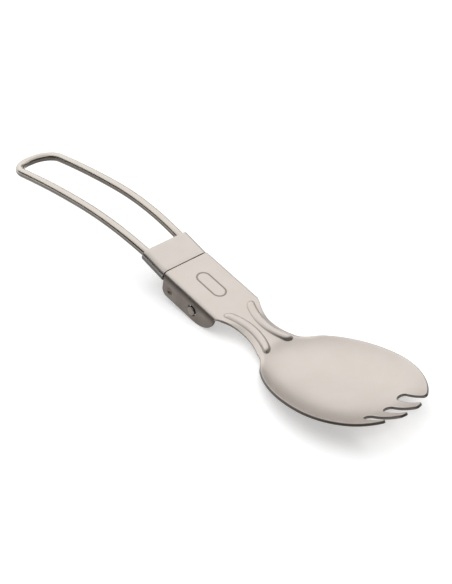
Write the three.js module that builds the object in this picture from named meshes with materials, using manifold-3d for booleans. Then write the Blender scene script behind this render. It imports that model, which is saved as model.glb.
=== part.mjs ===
// A folding spork: a stamped sheet blade with a bowl, four tines and a bent bracket, a bent wire
// handle whose ends are the pivot pins, and a sleeve that slides on the wire's legs to lock it open.
import * as THREE from 'three';
import { mergeVertices } from 'three/addons/utils/BufferGeometryUtils.js';
import Module from 'manifold-3d';

// Driving dimensions, in millimetres and degrees. The blade's own frame has its origin at the middle of
// the plate's rear edge, on its top face, with x towards the tines and z out of the plate.
const SHEET = 0.9; // thickness of the blade's sheet
const PLATE_LENGTH = 22.4; // plate's rear edge to the flanges' front end
const BRACKET_WIDTH = 17; // over both flanges
const BEND_RADIUS = 1.5; // outside of the bend from plate to flange
const FLANGE_DROP = 7.9; // plate top to flange bottom
const FLANGE_REAR_ROUND = 2.2; // rear bottom corner of a flange
const FLANGE_FRONT_REACH = 8.4; // length of the curve at a flange's front bottom corner

const NECK_WIDTH = 10.4; // at the waist
const NECK_WAIST = 31.5; // plate's rear edge to the waist
const NECK_FRONT_ROUND = 16; // outline radius ahead of the waist
const SHOULDER = 7; // length over which the neck's outline runs into the bowl's
const LIP_DROP = 0.9; // of the neck's edges, which turn down from the bends to the bowl
const LIP_WIDTH = 1.5;
const LIP_SOFTNESS = 0.15; // rounding of the lip's bend, as a share of its width

const BOWL_WIDTH = 36.6; // over the rim
const BOWL_MIDDLE = 66.2; // plate's rear edge to the widest place
const BOWL_REAR_REACH = 27.1; // widest place to the bowl's rear end
const BOWL_FRONT_REACH = 21.5; // widest place to the tips of the tines
const BOWL_DEPTH = 4.4; // below the rim, inside
const BOWL_FULLNESS = 3.5; // exponent of the bowl's section
const RIM_ANGLE = 19.8; // rise of the rim from the plate
const RIM_START = 41.2; // plate's rear edge to the bend where the rim rises
const RIM_EASE = 3; // length over which the rim bends up from the neck
const RIM_SOFTNESS = 0.06; // rounding of the hollow's edge, as a share of its radius
const NECK_SOFTNESS = 0.3; // the same where the neck runs into the hollow

const BEAD_HEIGHT = 0.95; // at the bowl end of a bead
const BEAD_START_HEIGHT = 0.4; // at its plate end
const BEAD_FULLNESS = 3; // exponent of a bead's section
const BEAD_WIDTH = 2.8;
const BEAD_SPACING = 4.3; // between the two beads' crests where they are nearest
const BEAD_WAIST = 32; // plate's rear edge to that place
const BEAD_BOW = 16.5; // radius that the beads follow in plan
const BEAD_SETBACK = 1.9; // start of the neck back to the bead's round start
const BEAD_LENGTH = 18.1; // from there to its blunt end

const NOTCH_DEPTH = 8; // tip of the bowl to the root of a notch, in plan
const NOTCH_ROOT = 1.4; // radius of a notch's root
const NOTCH_FLARE = 0.5; // half angle between a notch's walls
const NOTCH_SPACING = 5.5; // between neighbouring notches at the tips
const NOTCH_LEAN = 4.5; // of the outer notches, towards the middle at the tips
const TIP_ROUND = 0.8; // radius of a tine's corners
const TIP_LIFT = 1; // curl of the tips above the rim's plane
const TIP_CURL = 9; // length over which they curl up

const PIVOT_SETBACK = 13.3; // plate's rear edge to the pivot
const PIVOT_DROP = 4.45; // plate top to the pivot
const WIRE = 2.8; // diameter
const ARCH_RADIUS = 106; // of the handle in side view, from the plate's rear edge to past its middle
const ARCH_LENGTH = 41.5; // plate's rear edge to the end of that arch
const TAIL_RADIUS = 300; // of the handle in side view, from there to the loop
const HANDLE_LENGTH = 80.4; // plate's rear edge to the loop's outer end, along the wire
const LOOP_WIDTH = 17.4; // over the wires at the loop
const LOOP_CORNER = 6.5; // radius of the wire's middle line at the loop's corners
const FLARE_LENGTH = 45; // length over which the legs spread to the loop's width
const PIN_BEND = 1.8; // radius of the wire's middle line where it turns into a pin
const PIN_PROUD = 0.5; // pin end outside the flange's outer face

const SLEEVE_LENGTH = 9.6;
const SLEEVE_SHEET = 0.5;
const SLEEVE_TRAVEL = 6; // along the arch, back to where the spreading legs fill the sleeve

const DIMPLE_SETBACK = 3.2; // plate's rear edge to the detent dimple
const DIMPLE_DROP = 4.9; // plate top to the dimple
const DIMPLE_RADIUS = 1.2;
const DIMPLE_DEPTH = 0.6;
const DIMPLE_BULGE = 0.25; // inside the flange

// Clearances.
const SEAT_GAP = 0.15; // leg to the plate's underside at the rear edge
const LEG_GAP = 0.4; // leg to flange
const PIN_GAP = 0.25; // pin to its hole
const SLEEVE_GAP = 0.2; // wire to sleeve, above and below
const SLEEVE_SIDE_GAP = 0.1; // wire to sleeve at the end of its travel
const SEAM_GAP = 0.5; // sleeve to the plate's rear edge, on the wire's middle line

const { clamp, degToRad, lerp, smoothstep } = THREE.MathUtils;
const QUARTER = Math.PI / 2;
const wireRadius = WIRE / 2;
const bracketHalf = BRACKET_WIDTH / 2;
const flatHalf = bracketHalf - BEND_RADIUS;
const bowlHalf = BOWL_WIDTH / 2;
const bowlRear = BOWL_MIDDLE - BOWL_REAR_REACH;
const rimSlope = Math.tan(degToRad(RIM_ANGLE));
const curlStart = BOWL_MIDDLE + BOWL_FRONT_REACH - TIP_CURL;
const tipSlope = rimSlope + (2 * TIP_LIFT) / TIP_CURL;

const wasm = await Module();
wasm.setup();

// A closed three.js geometry as a solid that can be joined and cut.
const WELD = 1e-4;
function solid(geometry) {
  const bare = geometry.clone();
  bare.deleteAttribute('normal');
  bare.deleteAttribute('uv');
  const merged = mergeVertices(bare, WELD);
  const mesh = new wasm.Mesh({
    numProp: 3,
    vertProperties: new Float32Array(merged.attributes.position.array),
    triVerts: new Uint32Array(merged.index.array),
  });
  mesh.merge();
  return new wasm.Manifold(mesh);
}

// The three.js geometry of a solid.
function geometryOf(body) {
  const mesh = body.getMesh();
  const geometry = new THREE.BufferGeometry();
  geometry.setAttribute('position', new THREE.BufferAttribute(new Float32Array(mesh.vertProperties), 3));
  geometry.setIndex(new THREE.BufferAttribute(new Uint32Array(mesh.triVerts), 1));
  geometry.computeVertexNormals();
  return geometry;
}

// Shapes drawn in (y, z) run along x; shapes drawn in (x, z) run along y, centred on it.
const ALONG_X = new THREE.Matrix4().makeBasis(
  new THREE.Vector3(0, 1, 0),
  new THREE.Vector3(0, 0, 1),
  new THREE.Vector3(1, 0, 0),
);
const ALONG_Y = new THREE.Matrix4().makeBasis(
  new THREE.Vector3(1, 0, 0),
  new THREE.Vector3(0, 0, 1),
  new THREE.Vector3(0, -1, 0),
);

function extrude(shape, depth, curveSegments) {
  return new THREE.ExtrudeGeometry(shape, { depth, curveSegments, bevelEnabled: false });
}

function acrossY(shape, width, curveSegments) {
  return extrude(shape, width, curveSegments).translate(0, 0, -width / 2).applyMatrix4(ALONG_Y);
}

// A value that is near zero below zero and rises as t above it, rounded over the given width.
function softRamp(t, width) {
  return (t + Math.hypot(t, width)) / 2;
}

// Side view of a leg at the length s behind the plate's rear edge and at the side y: straight from the
// pivot to its seat under that edge, then an arch, then a flatter arch.
const seatDrop = SHEET + SEAT_GAP + wireRadius;
const legRise = PIVOT_DROP - seatDrop;
const pivotReach = Math.hypot(PIVOT_SETBACK, legRise);
const seatAngle = -Math.atan2(legRise, PIVOT_SETBACK);
const outwards = (angle) => new THREE.Vector2(-Math.sin(angle), Math.cos(angle));
const archCentre = new THREE.Vector2(0, -seatDrop).addScaledVector(outwards(seatAngle), -ARCH_RADIUS);
const tailAngle = seatAngle + ARCH_LENGTH / ARCH_RADIUS;
const tailCentre = archCentre.clone().addScaledVector(outwards(tailAngle), ARCH_RADIUS - TAIL_RADIUS);
function onLeg(s, y) {
  if (s < 0) {
    return new THREE.Vector3((-s * PIVOT_SETBACK) / pivotReach, y, -seatDrop + (s * legRise) / pivotReach);
  }
  const tail = s > ARCH_LENGTH;
  const angle = tail ? tailAngle + (s - ARCH_LENGTH) / TAIL_RADIUS : seatAngle + s / ARCH_RADIUS;
  const centre = tail ? tailCentre : archCentre;
  const place = centre.clone().addScaledVector(outwards(angle), tail ? TAIL_RADIUS : ARCH_RADIUS);
  return new THREE.Vector3(place.x, y, place.y);
}

// Half the distance between the legs' middle lines at the length s.
const legHalf = bracketHalf - SHEET - LEG_GAP - wireRadius;
const loopHalf = LOOP_WIDTH / 2 - wireRadius;
function legSpread(s) {
  const left = 1 - clamp(s / FLARE_LENGTH, 0, 1);
  return lerp(loopHalf, legHalf, left ** 2);
}

// Half the neck's width in plan. It leaves the flanges' front ends at the bracket's full width and meets
// the flat of the plate at neckStart.
const neckRearRound = (NECK_WAIST - PLATE_LENGTH) ** 2 / (BRACKET_WIDTH - NECK_WIDTH);
const neckStart = NECK_WAIST - Math.sqrt(neckRearRound * (2 * flatHalf - NECK_WIDTH));
function neckHalf(x) {
  const round = x < NECK_WAIST ? neckRearRound : NECK_FRONT_ROUND;
  return NECK_WIDTH / 2 + (x - NECK_WAIST) ** 2 / (2 * round);
}

// Half the blade's width in plan, on the neck and the bowl.
const bowlReach = (x) => (x < BOWL_MIDDLE ? BOWL_REAR_REACH : BOWL_FRONT_REACH);
function halfWidth(x) {
  const neck = Math.min(neckHalf(x), flatHalf);
  const bowl = bowlHalf * Math.sqrt(Math.max(0, 1 - ((x - BOWL_MIDDLE) / bowlReach(x)) ** 2));
  return x < NECK_WAIST ? neck : lerp(neckHalf(x), bowl, smoothstep(x, bowlRear, bowlRear + SHOULDER));
}

// Height of a stiffening bead above the neck: round in section and at both ends, and higher at the bowl.
const beadStart = neckStart - BEAD_SETBACK;
const beadEnd = beadStart + BEAD_LENGTH;
function bead(x, y) {
  const round = BEAD_WIDTH / 2;
  const crest = BEAD_SPACING / 2 + (x - BEAD_WAIST) ** 2 / (2 * BEAD_BOW);
  const beyond = x - clamp(x, beadStart + round, beadEnd - round);
  const off = Math.hypot(Math.abs(y) - crest, beyond) / round;
  const height = lerp(BEAD_START_HEIGHT, BEAD_HEIGHT, clamp((x - beadStart) / BEAD_LENGTH, 0, 1) ** 2);
  return height * Math.max(0, 1 - off ** BEAD_FULLNESS);
}

// Drop of the neck's edges below its middle.
function lip(x, y) {
  const over = (Math.abs(y) - halfWidth(x)) / LIP_WIDTH + 1;
  const share = smoothstep(x, neckStart, NECK_WAIST) - smoothstep(x, bowlRear, bowlRear + SHOULDER);
  return LIP_DROP * share * softRamp(over, LIP_SOFTNESS);
}

// Top face of the neck and bowl without the beads: the rim's plane, curled up at the tips, less the bowl's
// hollow and the neck's lips.
function formHeight(x, y) {
  const rim = softRamp(x - RIM_START, RIM_EASE) - softRamp(neckStart - RIM_START, RIM_EASE);
  const radius = Math.hypot((x - BOWL_MIDDLE) / bowlReach(x), y / bowlHalf);
  const softness = lerp(NECK_SOFTNESS, RIM_SOFTNESS, smoothstep(x, bowlRear - SHOULDER, bowlRear + SHOULDER));
  const hollow = softRamp(1 - radius ** BOWL_FULLNESS, softness) * smoothstep(x, neckStart, bowlRear);
  const curl = (Math.max(0, x - curlStart) / TIP_CURL) ** 2;
  return rimSlope * Math.max(0, rim) + TIP_LIFT * curl - BOWL_DEPTH * hollow - lip(x, y);
}

function formNormal(x, y) {
  const step = SHEET / 50;
  const slopeX = (formHeight(x + step, y) - formHeight(x - step, y)) / (2 * step);
  const slopeY = (formHeight(x, y + step) - formHeight(x, y - step)) / (2 * step);
  return new THREE.Vector3(-slopeX, -slopeY, 1).normalize();
}

// The neck and bowl as a closed sheet: a grid of stations along x and places across, with its top face,
// its underside one sheet thickness along the normal, and a wall round the edge. Its front end is as wide
// as the middle notch, which takes it away.
function neckAndBowl() {
  const neckSteps = 32;
  const bowlSteps = 36;
  const across = 30;
  const stations = [];
  const bowlStart = bowlRear + SHOULDER;
  for (let i = 0; i < neckSteps; i += 1) {
    stations.push(lerp(beadStart - SHEET, bowlStart, i / neckSteps));
  }
  const firstAngle = Math.asin((bowlStart - BOWL_MIDDLE) / BOWL_REAR_REACH);
  const lastAngle = Math.acos(NOTCH_ROOT / bowlHalf);
  for (let i = 0; i <= bowlSteps; i += 1) {
    const angle = lerp(firstAngle, lastAngle, i / bowlSteps);
    stations.push(BOWL_MIDDLE + Math.sin(angle) * (angle < 0 ? BOWL_REAR_REACH : BOWL_FRONT_REACH));
  }
  const row = across + 1;
  const top = [];
  const under = [];
  for (const x of stations) {
    const half = halfWidth(x);
    for (let j = 0; j <= across; j += 1) {
      const y = half * lerp(-1, 1, j / across);
      const place = new THREE.Vector3(x, y, formHeight(x, y) + bead(x, y));
      top.push(...place);
      under.push(...place.addScaledVector(formNormal(x, y), -SHEET));
    }
  }
  const count = stations.length * row;
  const index = [];
  const quad = (a, b, c, d) => index.push(a, b, c, a, c, d);
  for (let i = 0; i < stations.length - 1; i += 1) {
    for (let j = 0; j < across; j += 1) {
      const a = i * row + j;
      quad(a, a + row, a + row + 1, a + 1);
      quad(count + a, count + a + 1, count + a + row + 1, count + a + row);
    }
    const near = i * row;
    const far = near + across;
    quad(near, count + near, count + near + row, near + row);
    quad(far, far + row, count + far + row, count + far);
  }
  const last = (stations.length - 1) * row;
  for (let j = 0; j < across; j += 1) {
    quad(j, j + 1, count + j + 1, count + j);
    quad(last + j, count + last + j, count + last + j + 1, last + j + 1);
  }
  const geometry = new THREE.BufferGeometry();
  geometry.setAttribute('position', new THREE.Float32BufferAttribute([...top, ...under], 3));
  geometry.setIndex(index);
  return geometry;
}

// One notch between tines, cut square to the tines' faces: u runs out along them from the notch's mouth
// and v across. The root is round, the walls open towards the tips, and the tines' corners are rounded.
function notch(place) {
  const y = place * NOTCH_SPACING;
  const tipX = BOWL_MIDDLE + BOWL_FRONT_REACH * Math.sqrt(1 - (y / bowlHalf) ** 2);
  const tip = new THREE.Vector3(tipX, y, formHeight(tipX, y));
  const root = new THREE.Vector3(tipX - NOTCH_DEPTH, y, formHeight(tipX - NOTCH_DEPTH, y));
  const rise = Math.atan2(tip.z - root.z, NOTCH_DEPTH);
  const axis = degToRad(-place * NOTCH_LEAN);
  const flare = degToRad(NOTCH_FLARE);
  const towards = (angle, length) => new THREE.Vector2(length, 0).rotateAround(new THREE.Vector2(), angle);
  const rootCentre = towards(axis, NOTCH_ROOT - tip.distanceTo(root));

  // The outline of the tips in (u, v) is an ellipse; a corner's round lies one radius inside it.
  const stretch = Math.cos(rise) + tipSlope * Math.sin(rise);
  const outlineCentre = new THREE.Vector2(stretch * (BOWL_MIDDLE - tipX), -y);
  const semi = new THREE.Vector2(stretch * BOWL_FRONT_REACH - TIP_ROUND, bowlHalf - TIP_ROUND);
  const corner = (side) => {
    const wall = axis + side * flare;
    const from = rootCentre.clone().add(towards(wall + side * QUARTER, NOTCH_ROOT + TIP_ROUND));
    const a = from.clone().sub(outlineCentre).divide(semi);
    const b = towards(wall, 1).divide(semi);
    const half = a.dot(b) / b.lengthSq();
    const along = Math.sqrt(half ** 2 - (a.lengthSq() - 1) / b.lengthSq()) - half;
    const centre = from.add(towards(wall, along));
    const out = centre.clone().sub(outlineCentre).divide(semi).divide(semi).angle();
    return { centre, out, beyond: centre.clone().add(towards(out, NOTCH_DEPTH)) };
  };
  const above = corner(1);
  const below = corner(-1);
  const shape = new THREE.Shape();
  shape.moveTo(below.beyond.x, below.beyond.y);
  shape.lineTo(above.beyond.x, above.beyond.y);
  shape.absarc(above.centre.x, above.centre.y, TIP_ROUND, above.out, axis + flare - QUARTER, true);
  shape.absarc(rootCentre.x, rootCentre.y, NOTCH_ROOT, axis + flare + QUARTER, axis - flare - QUARTER, false);
  shape.absarc(below.centre.x, below.centre.y, TIP_ROUND, axis - flare + QUARTER, below.out, true);
  const height = NOTCH_DEPTH;
  const cutter = extrude(shape, height, 8).translate(0, 0, -height / 2).rotateY(-rise);
  return solid(cutter.translate(...tip));
}

// The bracket: plate and flanges bent from one sheet. Seen from the side the flanges have rounded lower
// corners; seen from above the bends run out along the neck's outline.
const flangeRound = FLANGE_DROP - BEND_RADIUS;
const flangeFront = new THREE.Vector2(PLATE_LENGTH - FLANGE_FRONT_REACH, -BEND_RADIUS);
function bracket() {
  const inner = BEND_RADIUS - SHEET;
  const channel = new THREE.Shape();
  channel.moveTo(-bracketHalf, -FLANGE_DROP);
  channel.lineTo(-bracketHalf + SHEET, -FLANGE_DROP);
  channel.absarc(-flatHalf, -BEND_RADIUS, inner, Math.PI, QUARTER, true);
  channel.absarc(flatHalf, -BEND_RADIUS, inner, QUARTER, 0, true);
  channel.lineTo(bracketHalf - SHEET, -FLANGE_DROP);
  channel.lineTo(bracketHalf, -FLANGE_DROP);
  channel.absarc(flatHalf, -BEND_RADIUS, BEND_RADIUS, 0, QUARTER, false);
  channel.absarc(-flatHalf, -BEND_RADIUS, BEND_RADIUS, QUARTER, Math.PI, false);

  const side = new THREE.Shape();
  const rear = FLANGE_REAR_ROUND;
  side.moveTo(PLATE_LENGTH, SHEET);
  side.lineTo(0, SHEET);
  side.absarc(rear, rear - FLANGE_DROP, rear, 2 * QUARTER, 3 * QUARTER, false);
  const frontReach = FLANGE_FRONT_REACH;
  side.absellipse(flangeFront.x, flangeFront.y, frontReach, flangeRound, 3 * QUARTER, 4 * QUARTER, false);
  const bendHeight = BEND_RADIUS + SHEET;
  const bends = new THREE.BoxGeometry(2 * neckStart, 2 * BRACKET_WIDTH, bendHeight);
  bends.translate(neckStart, 0, bendHeight / 2 - BEND_RADIUS);

  const plan = new THREE.Shape();
  const planSteps = 6;
  plan.moveTo(-PLATE_LENGTH, BRACKET_WIDTH);
  plan.lineTo(-PLATE_LENGTH, -BRACKET_WIDTH);
  plan.lineTo(PLATE_LENGTH, -BRACKET_WIDTH);
  for (let i = 0; i <= planSteps; i += 1) {
    const x = lerp(PLATE_LENGTH, neckStart, i / planSteps);
    plan.lineTo(x, -neckHalf(x));
  }
  for (let i = planSteps; i >= 0; i -= 1) {
    const x = lerp(PLATE_LENGTH, neckStart, i / planSteps);
    plan.lineTo(x, neckHalf(x));
  }
  plan.lineTo(PLATE_LENGTH, BRACKET_WIDTH);

  const bent = solid(extrude(channel, neckStart, 6).applyMatrix4(ALONG_X));
  const height = 4 * FLANGE_DROP;
  return bent
    .intersect(solid(acrossY(side, 2 * BRACKET_WIDTH, 12)).add(solid(bends)))
    .intersect(solid(extrude(plan, height, 1).translate(0, 0, -height / 2)));
}

// The detent dimple of one flange: a hollow outside and a low bulge inside, at the open wire's underside.
function dimpled(body, side) {
  const ball = (radius, y) => {
    const geometry = new THREE.SphereGeometry(radius, 16, 10);
    return solid(geometry.translate(DIMPLE_SETBACK, side * y, -DIMPLE_DROP));
  };
  const capRadius = (height) => (DIMPLE_RADIUS ** 2 + height ** 2) / (2 * height);
  const bulge = capRadius(DIMPLE_BULGE);
  const hollow = capRadius(DIMPLE_DEPTH);
  const innerFace = bracketHalf - SHEET;
  const wholeBall = ball(bulge, innerFace - DIMPLE_BULGE + bulge);
  const slab = new THREE.BoxGeometry(4 * bulge, 2 * DIMPLE_BULGE, 4 * bulge);
  const inside = wholeBall.intersect(solid(slab.translate(DIMPLE_SETBACK, side * innerFace, -DIMPLE_DROP)));
  return body.add(inside).subtract(ball(hollow, bracketHalf - DIMPLE_DEPTH + hollow));
}

function bladeGeometry() {
  const holeRadius = wireRadius + PIN_GAP;
  const hole = new THREE.CylinderGeometry(holeRadius, holeRadius, 2 * BRACKET_WIDTH, 28);
  let body = bracket().add(solid(neckAndBowl()));
  body = body.subtract(solid(hole.translate(PIVOT_SETBACK, 0, -PIVOT_DROP)));
  body = dimpled(dimpled(body, 1), -1);
  for (const place of [-1, 0, 1]) {
    body = body.subtract(notch(place));
  }
  return geometryOf(body);
}

// Middle line of the wire, from the pin on one side round the loop to the pin on the other. Each stretch
// takes its own share of the parameter, so that tight bends have short steps.
class WireLine extends THREE.Curve {
  static steps = { pin: 1, elbow: 6, leg: 38, corner: 7, bar: 2 };

  static halfSteps = Object.values(WireLine.steps).reduce((sum, n) => sum + n, 0);

  getPoint(t) {
    const side = t < 0.5 ? -1 : 1;
    let step = (1 - Math.abs(2 * t - 1)) * WireLine.halfSteps;
    const { pin, elbow, leg, corner, bar } = WireLine.steps;
    const bendEnd = PIN_BEND - pivotReach;
    const cornerStart = HANDLE_LENGTH - wireRadius - LOOP_CORNER;
    if (step <= pin) {
      const end = bracketHalf + PIN_PROUD;
      return onLeg(-pivotReach, side * lerp(end, legHalf + PIN_BEND, step / pin));
    }
    step -= pin;
    if (step <= elbow) {
      const turn = QUARTER * (step / elbow);
      const y = legHalf + PIN_BEND * (1 - Math.sin(turn));
      return onLeg(-pivotReach + PIN_BEND * (1 - Math.cos(turn)), side * y);
    }
    step -= elbow;
    if (step <= leg) {
      const s = lerp(bendEnd, cornerStart, step / leg);
      return onLeg(s, side * legSpread(s));
    }
    step -= leg;
    if (step <= corner) {
      const turn = QUARTER * (step / corner);
      const y = loopHalf - LOOP_CORNER * (1 - Math.cos(turn));
      return onLeg(cornerStart + LOOP_CORNER * Math.sin(turn), side * y);
    }
    step -= corner;
    return onLeg(cornerStart + LOOP_CORNER, side * lerp(loopHalf - LOOP_CORNER, 0, step / bar));
  }

  getUtoTmapping(u) {
    return u;
  }
}

function handleGeometry() {
  const round = new THREE.Shape().absarc(0, 0, wireRadius, 0, 2 * Math.PI, false);
  return new THREE.ExtrudeGeometry(round, {
    steps: 2 * WireLine.halfSteps,
    curveSegments: 7,
    extrudePath: new WireLine(),
  });
}

// The sleeve: a flattened tube, wide enough for the legs where they have spread at the end of its travel.
const sleeveMiddle = SEAM_GAP + SLEEVE_LENGTH / 2;
const travelEnd = SEAM_GAP + SLEEVE_LENGTH + SLEEVE_TRAVEL;
const sleeveInnerRadius = wireRadius + SLEEVE_GAP;
const sleeveInnerHalf = legSpread(travelEnd) + wireRadius + SLEEVE_SIDE_GAP;
function sleeveGeometry() {
  const sideCentre = sleeveInnerHalf - sleeveInnerRadius;
  const flatRound = (radius, path) => {
    path.absarc(sideCentre, 0, radius, -QUARTER, QUARTER, false);
    path.absarc(-sideCentre, 0, radius, QUARTER, 3 * QUARTER, false);
    return path;
  };
  const shape = flatRound(sleeveInnerRadius + SLEEVE_SHEET, new THREE.Shape());
  shape.holes.push(flatRound(sleeveInnerRadius, new THREE.Path()));
  return extrude(shape, SLEEVE_LENGTH, 10).translate(0, 0, -SLEEVE_LENGTH / 2).applyMatrix4(ALONG_X);
}

const titanium = { color: 0xc9c1b8, metalness: 0.9 };
const blade = new THREE.Mesh(
  bladeGeometry(),
  new THREE.MeshStandardMaterial({ ...titanium, roughness: 0.42 }),
);
blade.name = 'blade';

const wireHandle = new THREE.Mesh(
  handleGeometry(),
  new THREE.MeshStandardMaterial({ ...titanium, roughness: 0.28 }),
);
wireHandle.name = 'wire_handle';

const lockSleeve = new THREE.Mesh(
  sleeveGeometry(),
  new THREE.MeshStandardMaterial({ ...titanium, roughness: 0.4 }),
);
lockSleeve.name = 'lock_sleeve';
lockSleeve.position.copy(onLeg(sleeveMiddle, 0));
lockSleeve.rotation.y = -(seatAngle + sleeveMiddle / ARCH_RADIUS);

// Pitch of the spork as it lies on a table: the plate falls towards the bowl until the bowl's lowest place
// is level with that of the flanges' front corners.
function restPitch() {
  const places = blade.geometry.attributes.position;
  const halvings = 40;
  let level = 0;
  let steep = QUARTER / 2;
  for (let i = 0; i < halvings; i += 1) {
    const pitch = (level + steep) / 2;
    const height = (x, z) => z * Math.cos(pitch) - x * Math.sin(pitch);
    let bowlLow = Infinity;
    for (let k = 0; k < places.count; k += 1) {
      if (places.getX(k) > bowlRear) {
        bowlLow = Math.min(bowlLow, height(places.getX(k), places.getZ(k)));
      }
    }
    const below = Math.hypot(FLANGE_FRONT_REACH * Math.sin(pitch), flangeRound * Math.cos(pitch));
    const bowlIsLower = bowlLow < height(flangeFront.x, flangeFront.y) - below;
    level = bowlIsLower ? level : pitch;
    steep = bowlIsLower ? pitch : steep;
  }
  return level;
}

// The three pieces at rest, with the origin in the middle of the length and width, on the table.
const pitched = new THREE.Group();
pitched.rotation.y = restPitch();
pitched.add(blade, wireHandle, lockSleeve);

const spork = new THREE.Group();
spork.add(pitched);
spork.updateMatrixWorld(true);
const extent = new THREE.Box3().setFromObject(spork, true);
const middle = extent.getCenter(new THREE.Vector3());
pitched.position.set(-middle.x, -middle.y, -extent.min.z);

export default spork;
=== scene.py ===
import bpy
import numpy as np
from mathutils import Matrix, Vector


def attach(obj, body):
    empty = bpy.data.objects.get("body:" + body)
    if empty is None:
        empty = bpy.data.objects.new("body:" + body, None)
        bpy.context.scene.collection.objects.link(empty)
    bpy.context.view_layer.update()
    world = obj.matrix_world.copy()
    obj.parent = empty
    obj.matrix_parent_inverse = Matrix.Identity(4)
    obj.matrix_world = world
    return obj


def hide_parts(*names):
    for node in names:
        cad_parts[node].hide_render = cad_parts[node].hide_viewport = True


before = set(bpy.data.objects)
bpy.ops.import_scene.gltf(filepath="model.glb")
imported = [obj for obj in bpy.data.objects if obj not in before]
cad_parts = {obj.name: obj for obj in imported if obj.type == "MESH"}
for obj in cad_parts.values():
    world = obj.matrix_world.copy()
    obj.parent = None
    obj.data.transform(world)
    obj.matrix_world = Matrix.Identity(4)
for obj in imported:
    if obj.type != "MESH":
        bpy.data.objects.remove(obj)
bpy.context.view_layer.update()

# Blade: one blank of 0.9 mm titanium sheet. The bowl and the two neck beads are pressed in, the four tines
# are punched out of the bowl's front edge, and two flanges are bent down to take the handle's pivot pins.
# Sizes are in millimetres in the blade's own frame: x from the plate's rear edge to the tines, z out of it.
SHEET = 0.9
EDGE_ROUND = 0.26
PLATE_LENGTH, FLAT_HALF, BEND_RADIUS, FLANGE_DROP = 22.4, 7.0, 1.5, 7.9
REAR_ROUND, FRONT_REACH = 2.2, 8.4
NECK_HALF, WAIST, NECK_FRONT_ROUND = 5.2, 31.5, 16.0
LIP_DROP, LIP_WIDTH, LIP_SOFTNESS = 0.9, 1.5, 0.15
BOWL_HALF, BOWL_MIDDLE, REAR_REACH, TIP_REACH = 18.3, 66.2, 27.1, 21.5
BOWL_DEPTH, FULLNESS, SHOULDER = 4.4, 3.5, 7.0
RIM_SLOPE, RIM_START, RIM_EASE = np.tan(np.radians(19.8)), 41.2, 3.0
RIM_SOFTNESS, NECK_SOFTNESS = 0.06, 0.3
BEAD_START_HEIGHT, BEAD_HEIGHT, BEAD_HALF, BEAD_FULLNESS = 0.4, 0.95, 1.4, 3
BEAD_CREST, BEAD_WAIST, BEAD_BOW, BEAD_SETBACK, BEAD_LENGTH = 2.15, 32.0, 16.5, 1.9, 18.1
NOTCH_DEPTH, NOTCH_ROOT, NOTCH_SPACING = 8.0, 1.4, 5.5
TIP_ROUND, TIP_LIFT, TIP_CURL = 0.8, 1.0, 9.0
NOTCH_FLARE, NOTCH_LEAN = np.radians(0.5), np.radians(4.5)
PIVOT, HOLE_RADIUS = np.array([13.3, 4.45]), 1.65
DIMPLE, DIMPLE_RADIUS, DIMPLE_DEPTH, DIMPLE_BULGE = np.array([3.2, 4.9]), 1.2, 0.6, 0.25

PITCH = np.radians(10.548629)
REAR_EDGE = np.array([-4.91467, 0.0, 10.51458])
QUARTER = np.pi / 2
BEND_END = FLAT_HALF + BEND_RADIUS * QUARTER
BOWL_REAR = BOWL_MIDDLE - REAR_REACH
NECK_REAR_ROUND = (WAIST - PLATE_LENGTH) ** 2 / (2 * (FLAT_HALF + BEND_RADIUS - NECK_HALF))
NECK_START = WAIST - np.sqrt(2 * NECK_REAR_ROUND * (FLAT_HALF - NECK_HALF))


def on_table(points):
    """Blade frame in millimetres to the model's frame in metres: turned about Y by the pitch at which the
    spork lies on a table, then moved to the place of the plate's rear edge."""
    x, y, z = np.moveaxis(points, -1, 0)
    along = x * np.cos(PITCH) + z * np.sin(PITCH)
    up = z * np.cos(PITCH) - x * np.sin(PITCH)
    return (np.stack([along, y, up], -1) + REAR_EDGE) / 1000


def ramp(t, width):
    """A line t that is rounded off to zero below zero: half of t plus the root of t squared and width
    squared."""
    return (t + np.hypot(t, width)) / 2


def ease(t):
    """Smooth step from 0 to 1 while t goes from 0 to 1: three t squared less two t cubed."""
    t = np.clip(t, 0, 1)
    return t * t * (3 - 2 * t)


def neck_outline(x):
    """Half width in plan ahead of the bends: parabolas either side of the waist, faded into the bowl's
    ellipse."""
    round_ = np.where(x < WAIST, NECK_REAR_ROUND, NECK_FRONT_ROUND)
    neck = NECK_HALF + (x - WAIST) ** 2 / (2 * round_)
    reach = np.where(x < BOWL_MIDDLE, REAR_REACH, TIP_REACH)
    bowl = BOWL_HALF * np.sqrt(np.maximum(0, 1 - ((x - BOWL_MIDDLE) / reach) ** 2))
    return neck + (bowl - neck) * ease((x - BOWL_REAR) / SHOULDER)


def form_height(x, y):
    """Top face without the beads: the rim's rising plane with a square-law curl at the tips, less a hollow
    whose depth falls with a power of the elliptical radius, less the lips turned down along the neck's
    edges."""
    rim = RIM_SLOPE * np.maximum(0, ramp(x - RIM_START, RIM_EASE) - ramp(NECK_START - RIM_START, RIM_EASE))
    curl = TIP_LIFT * (np.maximum(0, x - BOWL_MIDDLE - TIP_REACH + TIP_CURL) / TIP_CURL) ** 2
    reach = np.where(x < BOWL_MIDDLE, REAR_REACH, TIP_REACH)
    radius = np.hypot((x - BOWL_MIDDLE) / reach, y / BOWL_HALF)
    forward = ease((x - BOWL_REAR + SHOULDER) / (2 * SHOULDER))
    softness = NECK_SOFTNESS + (RIM_SOFTNESS - NECK_SOFTNESS) * forward
    hollow = ramp(1 - radius ** FULLNESS, softness) * ease((x - NECK_START) / (BOWL_REAR - NECK_START))
    over = ramp((np.abs(y) - neck_outline(x)) / LIP_WIDTH + 1, LIP_SOFTNESS)
    lip = ease((x - NECK_START) / (WAIST - NECK_START)) - ease((x - BOWL_REAR) / SHOULDER)
    return rim + curl - BOWL_DEPTH * hollow - LIP_DROP * lip * over


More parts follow.
